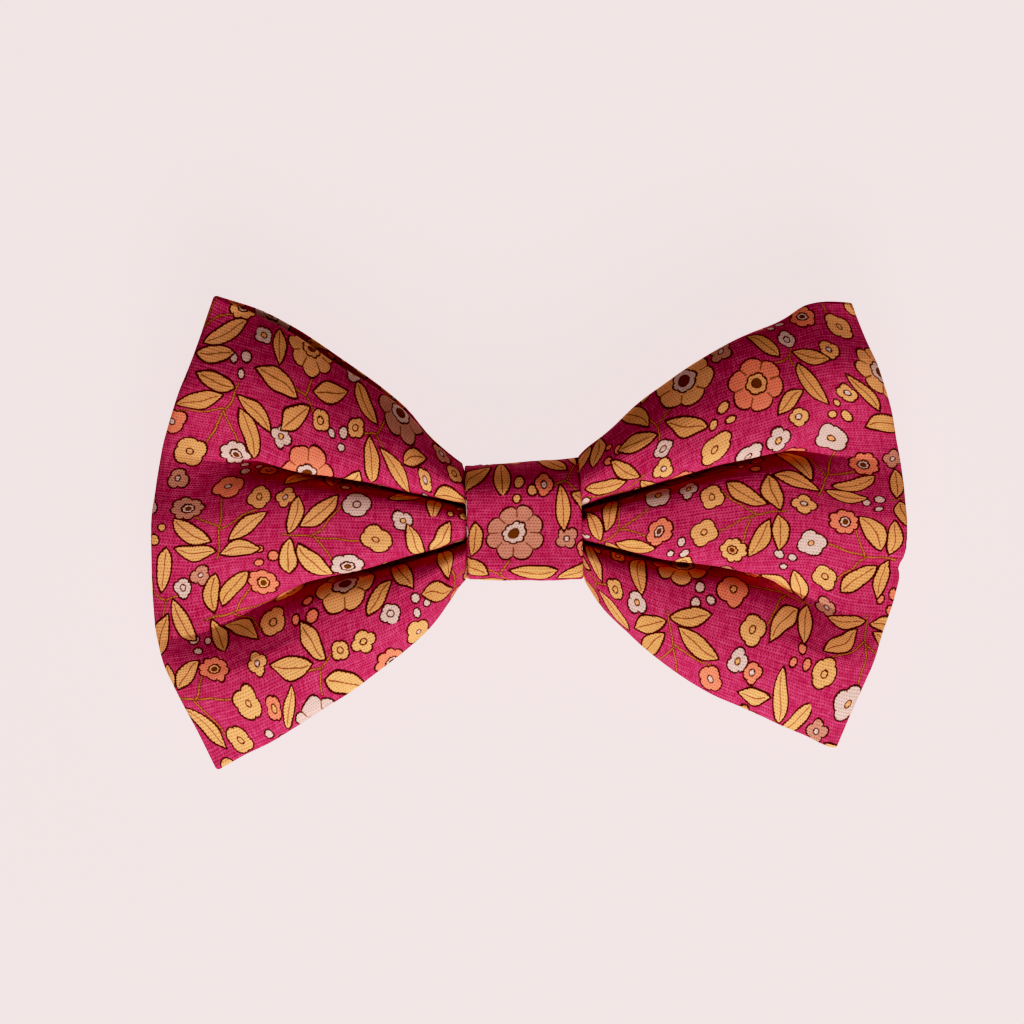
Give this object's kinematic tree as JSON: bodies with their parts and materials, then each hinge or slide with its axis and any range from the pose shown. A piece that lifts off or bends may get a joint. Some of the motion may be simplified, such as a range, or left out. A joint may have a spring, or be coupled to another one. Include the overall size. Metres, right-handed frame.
{
  "type": "slide-on pet bow tie",
  "caption": "Gathered cotton bow tie with a wrapped centre band and an elastic loop behind it that slides on a pet's collar.",
  "frame": {"origin": "middle of the bow's outline, on the surface that the elastic loop rests on", "axes": "+X along the bow's width, +Y up its height as worn, +Z out of its front"},
  "size_m": [0.1205, 0.0763, 0.0234],
  "materials": {
    "printed_cotton": "plain-weave cotton with an all-over flower print, matt",
    "elastic": "woven elastic, matt"
  },
  "bodies": {
    "root": {"bow_body": "printed_cotton", "centre_band": "printed_cotton", "collar_loop": "elastic"}
  },
  "joints": []
}
